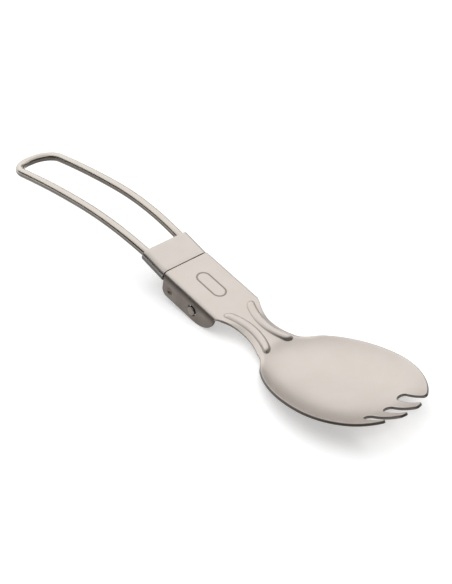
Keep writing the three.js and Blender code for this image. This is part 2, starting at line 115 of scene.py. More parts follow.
def bead_height(x, y):
    """Two ridges that bow outwards from their waist, with a full power law for a section, round ends and a
    height that grows with the square of the way from the plate to the bowl."""
    start = NECK_START - BEAD_SETBACK
    crest = BEAD_CREST + (x - BEAD_WAIST) ** 2 / (2 * BEAD_BOW)
    beyond = x - np.clip(x, start + BEAD_HALF, start + BEAD_LENGTH - BEAD_HALF)
    off = np.hypot(np.abs(y) - crest, beyond) / BEAD_HALF
    way = np.clip((x - start) / BEAD_LENGTH, 0, 1)
    height = BEAD_START_HEIGHT + (BEAD_HEIGHT - BEAD_START_HEIGHT) * way ** 2
    return height * np.maximum(0, 1 - off ** BEAD_FULLNESS)


def patch(south, north, west, east):
    """Surface over four edges: the two rulings between opposite edges, less the one between the corners."""
    s = np.linspace(0, 1, len(south))[None, :, None]
    t = np.linspace(0, 1, len(west))[:, None, None]
    across = (1 - t) * south[None] + t * north[None]
    along = (1 - s) * west[:, None] + s * east[:, None]
    corners = (1 - t) * ((1 - s) * south[0] + s * south[-1]) + t * ((1 - s) * north[0] + s * north[-1])
    return across + along - corners


def polar(centre, angle, radius):
    """Points at angles and radii round a centre."""
    return centre + np.stack([np.cos(angle), np.sin(angle)], -1) * np.expand_dims(radius, -1)


# The blank is worked out flat, in (x, w), where w runs across it and down over the bends, up to the place
# where the rounded edge begins. First the stations along the plate with the flange's lower outline.
PLATE_COLUMNS, FLANGE_ROWS = 80, 22
REAR_STEPS, MIDDLE_STEPS, FRONT_STEPS = 8, 30, 24
turn = np.linspace(0, QUARTER, REAR_STEPS + 1)[:-1]
front_turn = np.linspace(0, QUARTER, FRONT_STEPS + 1)
flange_middle = np.linspace(REAR_ROUND, PLATE_LENGTH - FRONT_REACH, MIDDLE_STEPS + 1)[:-1]
flange_height = FLANGE_DROP - BEND_RADIUS
plate_x = np.concatenate([
    REAR_ROUND - (REAR_ROUND - EDGE_ROUND) * np.cos(turn),
    flange_middle,
    PLATE_LENGTH - FRONT_REACH + (FRONT_REACH - EDGE_ROUND) * np.sin(front_turn),
])
flange_low = BEND_END + np.concatenate([
    flange_height - REAR_ROUND + (REAR_ROUND - EDGE_ROUND) * np.sin(turn),
    np.full(MIDDLE_STEPS, flange_height - EDGE_ROUND),
    (flange_height - EDGE_ROUND) * np.cos(front_turn),
])

# Then the outline ahead of the flanges: over the bend, along the neck and round the bowl to its widest place.
FOLD_STEPS, NECK_STEPS, SHOULDER_STEPS, BOWL_STEPS = 10, 51, 30, 57
SHOULDER_START, SHOULDER_END, STRIP_END = 38.5, 43.0, 70.0
fold_turn = np.linspace(QUARTER, 0, FOLD_STEPS + 1)
fold_x = WAIST - np.sqrt(2 * NECK_REAR_ROUND * (FLAT_HALF + BEND_RADIUS * np.sin(fold_turn) - NECK_HALF))
neck_x = np.concatenate([
    np.linspace(NECK_START, SHOULDER_START, NECK_STEPS + 1)[1:],
    np.linspace(SHOULDER_START, SHOULDER_END, SHOULDER_STEPS + 1)[1:],
    np.linspace(SHOULDER_END, STRIP_END, BOWL_STEPS + 1)[1:],
])
outline = np.stack([
    np.concatenate([fold_x, neck_x]),
    np.concatenate([FLAT_HALF + BEND_RADIUS * fold_turn, neck_outline(neck_x)]),
], -1)
heading = np.gradient(outline, axis=0)
heading[0] = 0, -1
heading /= np.linalg.norm(heading, axis=1, keepdims=True)
outline -= EDGE_ROUND * np.stack([-heading[:, 1], heading[:, 0]], -1)

# Across the bowl the columns crowd towards the middle, so that they run straight on into the tines.
CROWDING, CROWD_START, CROWD_LENGTH = 0.3, 45.0, 25.0
spread = np.linspace(-1, 1, PLATE_COLUMNS + 1)
strip_x = np.concatenate([plate_x[:-1], outline[:, 0]])
strip_half = np.concatenate([np.full(len(plate_x) - 1, BEND_END), outline[:, 1]])
crowd = 1 + CROWDING * ease((strip_x - CROWD_START) / CROWD_LENGTH)
strip_w = strip_half[:, None] * np.sign(spread) * np.abs(spread) ** crowd[:, None]
strip = np.stack(np.broadcast_arrays(strip_x[:, None], strip_w), -1)

# One flange, with a round patch let into its grid for the pivot hole and another for the detent dimple. A
# block is the first and last station along the plate, and the first and last row down the flange.
flange = np.stack(np.broadcast_arrays(
    plate_x[:, None],
    BEND_END + (flange_low - BEND_END)[:, None] * np.linspace(0, 1, FLANGE_ROWS + 1),
), -1)
hole_block = (REAR_STEPS + 22, REAR_STEPS + MIDDLE_STEPS + 4, 2, 19)
dimple_block = (REAR_STEPS - 2, REAR_STEPS + 7, 6, 18)


def round_patch(block, centre, radii):
    """Rings from the edge of a block of the flange's grid in to circles of the given radii."""
    i0, i1, j0, j1 = block
    edge = np.concatenate([
        flange[i0:i1, j0], flange[i1, j0:j1], flange[i1:i0:-1, j1], flange[i0, j1:j0 - 1:-1],
    ])
    middle = np.array([centre[0], BEND_END + centre[1] - BEND_RADIUS])
    away = edge - middle
    circles = polar(middle, np.arctan2(away[:, 1], away[:, 0])[None], np.array(radii)[:, None])
    return np.concatenate([edge[None], circles])


HOLE_RINGS = np.array([0.25, 0.1, 0])
DIMPLE_RINGS = np.array([1.1, 1.05, 1.0, 0.94, 0.82, 0.66, 0.46, 0.23, 0.0])
DIMPLE_SOFTNESS, DIMPLE_REACH = 0.04, 1.09 * DIMPLE_RADIUS
hole_rings = round_patch(hole_block, PIVOT, HOLE_RADIUS + EDGE_ROUND + HOLE_RINGS)
dimple_rings = round_patch(dimple_block, DIMPLE, DIMPLE_RADIUS * DIMPLE_RINGS)


# The front of the bowl: bands of the grid run on into the tines and end at the roots of the notches.
NEWTON_STEPS = 8


def notch_place(place, u, v):
    """A notch's own plane, u out along the tines and v across, to plan: x is found on the formed face in a
    few steps of Newton's rule, because the notch is cut square to the tines and not to the plate."""
    y0 = place * NOTCH_SPACING
    tip_x = BOWL_MIDDLE + TIP_REACH * np.sqrt(1 - (y0 / BOWL_HALF) ** 2)
    tip_z = form_height(tip_x, y0)
    rise = np.arctan2(tip_z - form_height(tip_x - NOTCH_DEPTH, y0), NOTCH_DEPTH)
    x = tip_x + u * np.cos(rise)
    for _ in range(NEWTON_STEPS):
        reached = (x - tip_x) * np.cos(rise) + (form_height(x, y0 + v) - tip_z) * np.sin(rise)
        x = x + (u - reached) * np.cos(rise)
    return np.stack([x, y0 + v], -1)


def notch_edges(place):
    """Round root, two walls and the rounded tine corners beside one notch, each an edge of a grid patch. A
    corner's centre lies where the wall, moved one corner radius into the tine, meets the tips' ellipse, drawn
    in by the same radius."""
    y0 = place * NOTCH_SPACING
    tip_x = BOWL_MIDDLE + TIP_REACH * np.sqrt(1 - (y0 / BOWL_HALF) ** 2)
    drop = form_height(tip_x, y0) - form_height(tip_x - NOTCH_DEPTH, y0)
    rise, depth = np.arctan2(drop, NOTCH_DEPTH), np.hypot(drop, NOTCH_DEPTH)
    axis = -place * NOTCH_LEAN
    root = polar(np.zeros(2), axis, NOTCH_ROOT - depth)
    stretch = np.cos(rise) + (RIM_SLOPE + 2 * TIP_LIFT / TIP_CURL) * np.sin(rise)
    middle = np.array([stretch * (BOWL_MIDDLE - tip_x), -y0])
    semi = np.array([stretch * TIP_REACH, BOWL_HALF]) - TIP_ROUND
    sweep = np.linspace(axis - NOTCH_FLARE + 3 * QUARTER, axis + NOTCH_FLARE + QUARTER, NOTCH_COLUMNS + 1)
    arc = polar(root, sweep, NOTCH_ROOT + EDGE_ROUND)
    edges = {"root": notch_place(place, *arc.T)}
    for side, start in ((-1, arc[0]), (1, arc[-1])):
        wall = axis + side * NOTCH_FLARE
        a = (polar(root, wall + side * QUARTER, NOTCH_ROOT + TIP_ROUND) - middle) / semi
        b = polar(np.zeros(2), wall, 1.0) / semi
        half = a @ b / (b @ b)
        centre = middle + semi * (a + b * (np.sqrt(half ** 2 - (a @ a - 1) / (b @ b)) - half))
        out = np.arctan2(*((centre - middle) / semi ** 2)[::-1])
        corner_turn = np.linspace(wall - side * QUARTER, out, CORNER_STEPS + 1)
        corner = polar(centre, corner_turn, TIP_ROUND - EDGE_ROUND)
        line = start + (corner[0] - start) * np.linspace(0, 1, TINE_ROWS + 1)[:, None]
        edges[side] = notch_place(place, *line.T), notch_place(place, *corner.T)
    return edges


def tip_outline(start, end, steps):
    """Along the bowl's front ellipse, less the edge round, from one given point to another."""
    semi = np.array([TIP_REACH, BOWL_HALF]) - EDGE_ROUND
    ends = (np.stack([start, end]) - [BOWL_MIDDLE, 0]) / semi
    angle = np.arctan2(ends[:, 1], ends[:, 0])
    t = np.linspace(0, 1, steps + 1)
    bare = polar(np.zeros(2), angle[0] + (angle[1] - angle[0]) * t, 1.0) * semi + [BOWL_MIDDLE, 0]
    return bare + (1 - t)[:, None] * (start - bare[0]) + t[:, None] * (end - bare[-1])


OUTER_COLUMNS, NOTCH_COLUMNS, INNER_COLUMNS = 12, 12, 10
CORNER_STEPS, BEHIND_ROWS, TINE_ROWS = 3, 26, 20
notches = [notch_edges(place) for place in (-1, 0, 1)]
base = strip[-1]
far_outline = tip_outline(base[0], notches[0][-1][1][-1], BEHIND_ROWS + TINE_ROWS)
near_outline = tip_outline(base[-1], notches[-1][1][1][-1], BEHIND_ROWS + TINE_ROWS)


def ruled(start, end, steps):
    """Straight row of points between two points."""
    return start + (end - start) * np.linspace(0, 1, steps + 1)[:, None]


def stretched(points, steps):
    """The same row of points with more or fewer steps, even along its length."""
    length = np.concatenate([[0], np.cumsum(np.linalg.norm(np.diff(points, axis=0), axis=1))])
    even = np.linspace(0, length[-1], steps + 1)
    return np.stack([np.interp(even, length, points[:, k]) for k in (0, 1)], -1)


front, seams = [], [far_outline[:BEHIND_ROWS + 1]]
bands = [OUTER_COLUMNS] + [NOTCH_COLUMNS, INNER_COLUMNS] * 2 + [NOTCH_COLUMNS, OUTER_COLUMNS]
columns = np.concatenate([[0], np.cumsum(bands)])
for k, notch in enumerate(notches):
    for side, column in ((-1, columns[2 * k + 1]), (1, columns[2 * k + 2])):
        seams.append(ruled(base[column], notch[side][0][0], BEHIND_ROWS))
seams.append(near_outline[:BEHIND_ROWS + 1])
for k, steps in enumerate(bands):
    south = base[columns[k]:columns[k + 1] + 1]
    north = notches[k // 2]["root"] if k % 2 else ruled(seams[k][-1], seams[k + 1][-1], steps)
    front.append(patch(south, north, seams[k], seams[k + 1]))
    if k % 2:
        continue
    if k == 0:
        low_wall = far_outline[BEHIND_ROWS:]
        high_wall, high_corner = notches[0][-1]
        tip = stretched(high_corner[::-1], steps)
    elif k == len(bands) - 1:
        low_wall, low_corner = notches[-1][1]
        high_wall = near_outline[BEHIND_ROWS:]
        tip = stretched(low_corner, steps)
    else:
        (low_wall, low_corner), (high_wall, high_corner) = notches[k // 2 - 1][1], notches[k // 2][-1]
        between = tip_outline(low_corner[-1], high_corner[-1], steps - 2 * CORNER_STEPS)
        tip = np.concatenate([low_corner, between[1:-1], high_corner[::-1]])
    front.append(patch(north, tip, low_wall, high_wall))


MERGE_DIGITS = 4


def joined(grids):
    """All the grids as one flat mesh: points that coincide are merged, quads face +z, folded quads become
    triangles."""
    points, quads, count = [], [], 0
    for grid, keep in grids:
        rows, cols = grid.shape[:2]
        at = count + np.arange(rows * cols).reshape(rows, cols)
        q = np.stack([at[:-1, :-1], at[1:, :-1], at[1:, 1:], at[:-1, 1:]], -1)[keep]
        points.append(grid.reshape(-1, 2))
        quads.append(q.reshape(-1, 4))
        count += rows * cols
    points, quads = np.concatenate(points), np.concatenate(quads)
    _, first_use, index = np.unique(
        np.round(points, MERGE_DIGITS), axis=0, return_index=True, return_inverse=True,
    )
    points, quads = points[first_use], index.reshape(-1)[quads]
    p = points[quads]
    d1, d2 = p[:, 2] - p[:, 0], p[:, 3] - p[:, 1]
    facing_down = d1[:, 0] * d2[:, 1] - d1[:, 1] * d2[:, 0] < 0
    quads = np.where(facing_down[:, None], quads[:, ::-1], quads)
    same = quads == np.roll(quads, -1, axis=1)
    whole = quads[~same.any(1)]
    folded = quads[same.sum(1) == 1]
    at = np.argmax(folded == np.roll(folded, -1, axis=1), axis=1)
    triangles = np.take_along_axis(folded, (at[:, None] + np.arange(1, 4)) % 4, 1)
    return points, whole, triangles


flange_keep = np.ones((len(plate_x) - 1, FLANGE_ROWS), bool)
for i0, i1, j0, j1 in (hole_block, dimple_block):
    flange_keep[i0:i1, j0:j1] = False
mirror = np.array([1, -1])
everything = slice(None)
grids = [(strip, everything)] + [(g, everything) for g in front]
for half in (1, mirror):
    grids.append((flange * half, flange_keep))
    grids += [(rings * half, everything) for rings in (hole_rings, dimple_rings)]
blank, blank_quads, blank_triangles = joined(grids)


def formed(blank):
    """The blank pressed and bent: its top face, its underside and the top face's normals. Ahead of the bends
    the height is the form and the beads, and the sheet's thickness lies along the form's normal. On the bends
    w is the arc length round the bend, and beyond it the drop down the flange."""
    x, w = blank.T
    side = np.sign(w)
    bent = (x < NECK_START) & (np.abs(w) > FLAT_HALF)
    angle = np.where(bent, np.clip((np.abs(w) - FLAT_HALF) / BEND_RADIUS, 0, QUARTER), 0)
    below = np.where(bent, np.maximum(0, np.abs(w) - BEND_END), 0)
    y = np.where(bent, side * (FLAT_HALF + BEND_RADIUS * np.sin(angle)), w)
    z = np.where(bent, BEND_RADIUS * (np.cos(angle) - 1) - below, form_height(x, w) + bead_height(x, w))
    step = SHEET / 50
    slope_x = (form_height(x + step, w) - form_height(x - step, w)) / (2 * step)
    slope_y = (form_height(x, w + step) - form_height(x, w - step)) / (2 * step)
    normal = np.stack([-slope_x, -slope_y, np.ones_like(x)], -1)
    normal /= np.linalg.norm(normal, axis=1, keepdims=True)
    turned = np.stack([np.zeros_like(x), side * np.sin(angle), np.cos(angle)], -1)
    normal = np.where(bent[:, None], turned, normal)
    top = np.stack([x, y, z], -1)
    under = top - SHEET * normal
    off = np.where(bent, np.hypot(x - DIMPLE[0], z + DIMPLE[1]), np.inf)

    def cap(height):
        """Depth of a round cap over the dimple, softened where it meets the flange."""
        ball = (DIMPLE_RADIUS ** 2 + height ** 2) / (2 * height)
        depth = np.sqrt(np.maximum(0, ball ** 2 - off ** 2)) - (ball - height)
        return ramp(depth, DIMPLE_SOFTNESS) * (off < DIMPLE_REACH)

    top = top - cap(DIMPLE_DEPTH)[:, None] * normal
    under = under - cap(DIMPLE_BULGE)[:, None] * normal
    return top, under, normal


def sheet_mesh(top, under, normal, quads, triangles, edge_round, edge_steps):
    """Closed sheet: top, underside and a rounded edge carried along the outline. At each outline point the
    edge is a quarter circle out and down, a straight wall, and a quarter circle back in. Gives the points,
    the faces, each point's place in the blank, and how far over the cut edge it is."""
    count = len(top)
    loops = [np.concatenate([f, np.roll(f, -1, axis=1)]).reshape(2, -1).T for f in (quads, triangles)]
    edges = np.concatenate(loops)
    key, back = edges[:, 0] * count + edges[:, 1], edges[:, 1] * count + edges[:, 0]
    rim = edges[~np.isin(key, back)]
    rim = rim[np.argsort(rim[:, 0])]
    ring, after = rim[:, 0], rim[:, 1]
    before = np.empty_like(ring)
    before[np.searchsorted(ring, after)] = ring
    ahead, behind = top[after] - top[ring], top[ring] - top[before]
    tangent = ahead / np.linalg.norm(ahead, axis=1, keepdims=True)
    tangent += behind / np.linalg.norm(behind, axis=1, keepdims=True)
    outward = np.cross(tangent, normal[ring])
    outward /= np.linalg.norm(outward, axis=1, keepdims=True)
    theta = np.linspace(0, QUARTER, edge_steps + 1)[1:, None, None]
    out, up = edge_round * np.sin(theta), edge_round * (1 - np.cos(theta))
    upper = top[ring] + out * outward - up * normal[ring]
    lower = (under[ring] + out * outward + up * normal[ring])[::-1]
    band = np.concatenate([upper, lower])
    points = np.concatenate([top, under, band.reshape(-1, 3)])
    at = 2 * count + np.arange(band.shape[0] * len(ring)).reshape(band.shape[0], -1)
    rows = np.concatenate([ring[None], at, count + ring[None]])
    follow = np.searchsorted(ring, after)
    wall = np.stack([rows[:-1], rows[1:], rows[1:, follow], rows[:-1, follow]], -1).reshape(-1, 4)
    faces = np.concatenate([quads, count + quads[:, ::-1], wall])
    corners = np.concatenate([triangles, count + triangles[:, ::-1]])
    source = np.concatenate([np.arange(count), np.arange(count), np.tile(ring, band.shape[0])])
    over = np.concatenate([np.sin(theta).ravel(), np.sin(theta).ravel()[::-1]])
    cut = np.concatenate([np.zeros(2 * count), np.repeat(over, len(ring))])
    return points, faces, corners, source, cut


def new_piece(name, points, quads, triangles=np.zeros((0, 3), int)):
    """A smooth mesh object at the origin from points in metres and their faces."""
    mesh = bpy.data.meshes.new(name)
    mesh.from_pydata(points.tolist(), [], quads.tolist() + triangles.tolist())
    mesh.polygons.foreach_set("use_smooth", np.ones(len(mesh.polygons), bool))
    mesh.update()
    piece = bpy.data.objects.new(name, mesh)
    bpy.context.scene.collection.objects.link(piece)
    return piece


def give_uv(piece, uv):
    """One UV map from a value at each point."""
    corner = np.zeros(len(piece.data.loops), np.int32)
    piece.data.loops.foreach_get("vertex_index", corner)
    layer = piece.data.uv_layers.new(name="UVMap")
    layer.data.foreach_set("uv", uv[corner].astype(np.float32).ravel())


top, under, normal = formed(blank)
EDGE_STEPS = 4
points, faces, corners, source, cut = sheet_mesh(
    top, under, normal, blank_quads, blank_triangles, EDGE_ROUND, EDGE_STEPS,
)
blade = new_piece("pressed_blade", on_table(points), faces, corners)

# The UV map is the flat blank, the top face in its left half and the underside in its right half.
BLANK_SPAN = 200.0
is_under = np.arange(len(points)) // len(top) == 1
blank_u = blank[source, 0] / BLANK_SPAN + 0.5 * is_under
blank_v = blank[source, 1] / BLANK_SPAN + 0.5
give_uv(blade, np.stack([blank_u, blank_v], -1))
cut_edge = blade.data.attributes.new("cut_edge", "FLOAT", "POINT")
cut_edge.data.foreach_set("value", cut.astype(np.float32))


class Shade:
    """A shader socket that takes arithmetic: each operator on it adds one Math node."""

    def __init__(self, socket):
        self.socket = socket

    @staticmethod
    def node(tree, kind, settings=None, **sockets):
        """A new node: its settings first, then its sockets by name, or by place as i0, i1 and so on."""
        made = tree.nodes.new(kind)
        for name, value in (settings or {}).items():
            setattr(made, name, value)
        for name, value in sockets.items():
            spot = int(name[1:]) if name[0] == "i" and name[1:].isdigit() else name.replace("_", " ")
            if isinstance(value, Shade):
                tree.links.new(value.socket, made.inputs[spot])
            else:
                made.inputs[spot].default_value = value
        return made

    def maths(self, operation, *others):
        """One Math node on this value and the others, in that order."""
        values = dict(zip(("i0", "i1", "i2"), (self, *others)))
        made = Shade.node(self.socket.id_data, "ShaderNodeMath", {"operation": operation}, **values)
        return Shade(made.outputs[0])

    def flipped(self, operation, other):
        """One Math node with the other value first."""
        made = Shade.node(self.socket.id_data, "ShaderNodeMath", {"operation": operation}, i0=other, i1=self)
        return Shade(made.outputs[0])

    def clamped(self):
        """This value held between 0 and 1."""
        return self.maths("MAXIMUM", 0.0).maths("MINIMUM", 1.0)

    def __add__(self, other):
        return self.maths("ADD", other)

    def __sub__(self, other):
        return self.maths("SUBTRACT", other)

    def __rsub__(self, other):
        return self.flipped("SUBTRACT", other)

    def __mul__(self, other):
        return self.maths("MULTIPLY", other)

    def __truediv__(self, other):
        return self.maths("DIVIDE", other)

    __radd__ = __add__
    __rmul__ = __mul__


def metal(name):
    """A new material with a metal shader: gives the material, its tree, its shader node and a maker of noise
    for it."""
    material = bpy.data.materials.new(name)
    material.use_nodes = True
    tree = material.node_tree
    shader = tree.nodes["Principled BSDF"]
    shader.inputs["Metallic"].default_value = 1.0
    place = Shade(Shade.node(tree, "ShaderNodeTexCoord").outputs["Object"])

    def noise(scale, detail=2.0, stretch=(1, 1, 1), vector=place):
        """Noise from 0 to 1 over the object's own place or a given vector, stretched along its axes."""
        spread = Shade.node(tree, "ShaderNodeMapping", i0=vector, Scale=stretch)
        out = Shade.node(tree, "ShaderNodeTexNoise", i0=Shade(spread.outputs[0]), Scale=scale, Detail=detail)
        return Shade(out.outputs[0])

    return material, tree, shader, noise


def wire_up(tree, shader, colour, roughness, height, depth):
    """Joins the varying colour, roughness and surface height, in metres of depth, to a shader."""
    tree.links.new(colour.socket, shader.inputs["Base Color"])
    tree.links.new(roughness.socket, shader.inputs["Roughness"])
    bump = Shade.node(tree, "ShaderNodeBump", Distance=depth, Strength=1.0, Height=height)
    tree.links.new(bump.outputs[0], shader.inputs["Normal"])


def mixed(tree, factor, low, high):
    """A colour between two colours."""
    made = Shade.node(tree, "ShaderNodeMix", {"data_type": "RGBA"}, i0=factor, i6=low, i7=high)
    return Shade(made.outputs[2])


def uv_place(tree):
    """The UV map as a vector, and its two coordinates."""
    place = Shade(Shade.node(tree, "ShaderNodeUVMap").outputs[0])
    parts = Shade.node(tree, "ShaderNodeSeparateXYZ", i0=place).outputs
    return place, Shade(parts[0]), Shade(parts[1])


# Fine matt titanium: blasted grain and faint warm and cool clouds. Painted shade, standing in for dark
# reflections, darkens the flanges and the sides of the underside, and more painted shade lies along the bends,
# in the creases at the feet of the beads and on the cut edges. On the plate a plain engraved line runs round
# an empty panel.
PALE, WARM = (0.53, 0.488, 0.455, 1), (0.512, 0.466, 0.422, 1)
FLANGE_SHADE, BEND_SHADE, EDGE_AND_CREASE_SHADE = (0.138, 0.115, 0.098, 1), (0.06, 0.048, 0.04, 1), (0.10, 0.09, 0.08, 1)
ENGRAVED = (0.22, 0.18, 0.15, 1)
PANEL_MIDDLE, PANEL_STRAIGHT, PANEL_ROUND, PANEL_LINE = 11.4, 3.3, 2.1, 0.26
LINE_CORE, LINE_DEPTH, LINE_SHARE = 1.5, 4.0, 0.8
CUT_GAIN, CUT_START, CUT_SHARE = 2.0, 0.6, 0.85
FLANGE_SHADE_MARGIN, FLANGE_SHADE_GAIN, FLANGE_SHADE_LEAST, FLANGE_SHADE_CLOUDS = 1.3, 1.2, 0.65, 0.4
SHADE_MARGIN, SHADE_HALF, SHADE_SHARE = 0.3, 1.7, 0.8
CREASE_HALF, CREASE_SHARE = 0.2, 0.55
SHEET_CLOUDS, SHEET_GRAIN, GRAIN_HEIGHT = 170.0, 5200.0, 0.000012
SHEET_ROUGH, SHEET_ROUGH_CLOUDS, SHEET_ROUGH_GRAIN, LINE_ROUGH = 0.33, 0.08, 0.08, 0.15
finish, tree, shader, noise = metal("matt_titanium_sheet")
_, along, across = uv_place(tree)
x_mm = along * BLANK_SPAN
w_mm = (across - 0.5).maths("ABSOLUTE") * BLANK_SPAN
beyond = ((x_mm - PANEL_MIDDLE).maths("ABSOLUTE") - PANEL_STRAIGHT).maths("MAXIMUM", 0.0)
ring_off = ((beyond * beyond + w_mm * w_mm).maths("SQRT") - PANEL_ROUND).maths("ABSOLUTE")
line = (LINE_CORE - ring_off / PANEL_LINE).clamped()
edge = Shade(Shade.node(tree, "ShaderNodeAttribute", {"attribute_name": "cut_edge"}).outputs["Fac"])
edge = (edge * CUT_GAIN - CUT_START).clamped()
on_flange = ((w_mm - BEND_END + FLANGE_SHADE_MARGIN) * FLANGE_SHADE_GAIN).clamped()
rear_or_under = x_mm.maths("LESS_THAN", PLATE_LENGTH) + x_mm.maths("GREATER_THAN", BLANK_SPAN / 2)
on_flange = on_flange * rear_or_under.maths("MINIMUM", 1.0)
off_bend = ((w_mm - BEND_END + SHADE_MARGIN) / SHADE_HALF).maths("ABSOLUTE")
along_bend = (1.0 - off_bend).maths("MAXIMUM", 0.0)
crest = BEAD_CREST + (x_mm - BEAD_WAIST) * (x_mm - BEAD_WAIST) / (2 * BEAD_BOW)
bead_middle = NECK_START - BEAD_SETBACK + BEAD_LENGTH / 2
past = ((x_mm - bead_middle).maths("ABSOLUTE") - (BEAD_LENGTH / 2 - BEAD_HALF)).maths("MAXIMUM", 0.0)
foot_off = (((w_mm - crest) * (w_mm - crest) + past * past).maths("SQRT") - BEAD_HALF).maths("ABSOLUTE")
crease = (1.0 - foot_off / CREASE_HALF).maths("MAXIMUM", 0.0)
clouds = noise(SHEET_CLOUDS, 3.0)
grain = noise(SHEET_GRAIN, 2.0)
colour = mixed(tree, clouds, PALE, WARM)
# Painted shade: the flanges and the outer sides of the underside are mixed towards a dark colour.
colour = mixed(tree, on_flange * (FLANGE_SHADE_LEAST + clouds * FLANGE_SHADE_CLOUDS), colour, FLANGE_SHADE)
# Painted shade: a darker band along each bend, standing in for a dark reflection.
colour = mixed(tree, on_flange * along_bend * SHADE_SHARE, colour, BEND_SHADE)
# Painted shade: a thin dark line in the crease at the foot of each bead.
colour = mixed(tree, crease * CREASE_SHARE, colour, EDGE_AND_CREASE_SHADE)
# Painted shade: the rounded cut edges are darkened, standing in for the dark surroundings they would mirror.
colour = mixed(tree, edge * CUT_SHARE, colour, EDGE_AND_CREASE_SHADE)
colour = mixed(tree, line * LINE_SHARE, colour, ENGRAVED)
roughness = SHEET_ROUGH + clouds * SHEET_ROUGH_CLOUDS + grain * SHEET_ROUGH_GRAIN + line * LINE_ROUGH
wire_up(tree, shader, colour, roughness, grain - line * LINE_DEPTH, GRAIN_HEIGHT)
blade.data.materials.append(finish)
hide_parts("blade")
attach(blade, "blade")

# Wire handle: one 2.8 mm round titanium wire, bent into a narrow loop with two arched legs. Its two ends are
# turned outwards and stand through the flanges' holes as the pivot pins.
WIRE_RADIUS = 1.4
SEAT_DROP, LEG_RISE = 2.45, 2.0
ARCH_RADIUS, ARCH_LENGTH, TAIL_RADIUS, HANDLE_LENGTH = 106.0, 41.5, 300.0, 80.4
LEG_HALF, LOOP_HALF, LOOP_CORNER, FLARE_LENGTH = 5.8, 7.3, 6.5, 45.0
PIN_BEND, PIN_END = 1.8, 9.0
PIVOT_REACH = np.hypot(PIVOT[0], LEG_RISE)
SEAT_ANGLE = -np.arctan2(LEG_RISE, PIVOT[0])


def leg_normal(angle):
    """The outward normal of a leg's arch where it slopes by the angle."""
    return np.stack([-np.sin(angle), np.zeros_like(angle), np.cos(angle)], -1)


def on_leg(s, y):
    """Side view of a leg at the length s behind the plate's rear edge: straight from pivot to seat, then an
    arch of one radius, then of a larger one. Gives the place and the arch's outward normal."""
    on_arch, on_tail = np.clip(s, 0, ARCH_LENGTH), np.maximum(0, s - ARCH_LENGTH)
    out = leg_normal(SEAT_ANGLE + on_arch / ARCH_RADIUS + on_tail / TAIL_RADIUS)
    first = leg_normal(np.array(SEAT_ANGLE))
    last = leg_normal(np.array(SEAT_ANGLE + ARCH_LENGTH / ARCH_RADIUS))
    seat = np.array([0, 0, -SEAT_DROP])
    arch = seat + ARCH_RADIUS * (out - first)
    tail = seat + ARCH_RADIUS * (last - first) + TAIL_RADIUS * (out - last)
    straight = seat + np.minimum(s, 0)[:, None] * np.array([-PIVOT[0], 0, LEG_RISE]) / PIVOT_REACH
    place = np.where((s < 0)[:, None], straight, np.where((s > ARCH_LENGTH)[:, None], tail, arch))
    return place + np.stack([0 * y, y, 0 * y], -1), out


# One half of the wire's middle line, from the end of a pin with its edge rounded off, round the pin's bend and
# along the leg to the middle of the loop. The other half mirrors it.
BEND_STEPS, PIN_STEPS, LEG_STEPS, AROUND = 12, 5, 130, 32
CAP_BACK = np.array([0.005, 0.02, 0.06, 0.14, 0.3])
CAP_SHARE = np.array([0.5, 0.78, 0.89, 0.965, 1.0])
bend = np.linspace(0, QUARTER, BEND_STEPS + 1)
corner_start = HANDLE_LENGTH - WIRE_RADIUS - LOOP_CORNER
pin_run = np.linspace(PIN_END - CAP_BACK[-1], LEG_HALF + PIN_BEND, PIN_STEPS + 1)
pin_y = np.concatenate([PIN_END - CAP_BACK, pin_run[1:-1]])
leg_s = np.linspace(PIN_BEND - PIVOT_REACH, corner_start, LEG_STEPS + 1)
leg_y = LOOP_HALF + (LEG_HALF - LOOP_HALF) * (1 - np.clip(leg_s / FLARE_LENGTH, 0, 1)) ** 2
half_s = np.concatenate([
    np.full(len(pin_y), -PIVOT_REACH),
    PIN_BEND * (1 - np.cos(bend)) - PIVOT_REACH,
    leg_s[1:-1],
    corner_start + LOOP_CORNER * np.sin(bend),
])
half_y = np.concatenate([
    pin_y,
    LEG_HALF + PIN_BEND * (1 - np.sin(bend)),
    leg_y[1:-1],
    LOOP_HALF - LOOP_CORNER * (1 - np.cos(bend)),
])
wire_s = np.concatenate([half_s, half_s[-1:], half_s[::-1]])
wire_y = np.concatenate([half_y, [0.0], -half_y[::-1]])
share = np.ones(len(wire_s))
share[:len(CAP_SHARE)], share[-len(CAP_SHARE):] = CAP_SHARE, CAP_SHARE[::-1]


def swept_round(line, normal, radius, around):
    """Circles of the given radii carried along a line, square to it: the line plus cosine times the normal
    and sine times the third direction."""
    ahead = np.diff(line, axis=0)
    ahead /= np.linalg.norm(ahead, axis=1, keepdims=True)
    tangent = np.concatenate([ahead[:1], ahead]) + np.concatenate([ahead, ahead[-1:]])
    tangent /= np.linalg.norm(tangent, axis=1, keepdims=True)
    third = np.cross(tangent, normal)
    third /= np.linalg.norm(third, axis=1, keepdims=True)
    normal = np.cross(third, tangent)
    theta = np.linspace(0, 2 * np.pi, around, endpoint=False)[None, :, None]
    circle = np.cos(theta) * normal[:, None] + np.sin(theta) * third[:, None]
    return line[:, None] + radius[:, None, None] * circle


def wrapped(rows, cols, close_rows=False):
    """Quads of a grid that closes round its columns, and round its rows where asked."""
    at = np.arange(rows * cols).reshape(rows, cols)
    at = np.concatenate([at, at[:1]]) if close_rows else at
    after = np.roll(at, -1, axis=1)
    return np.stack([at[:-1], after[:-1], after[1:], at[1:]], -1).reshape(-1, 4)


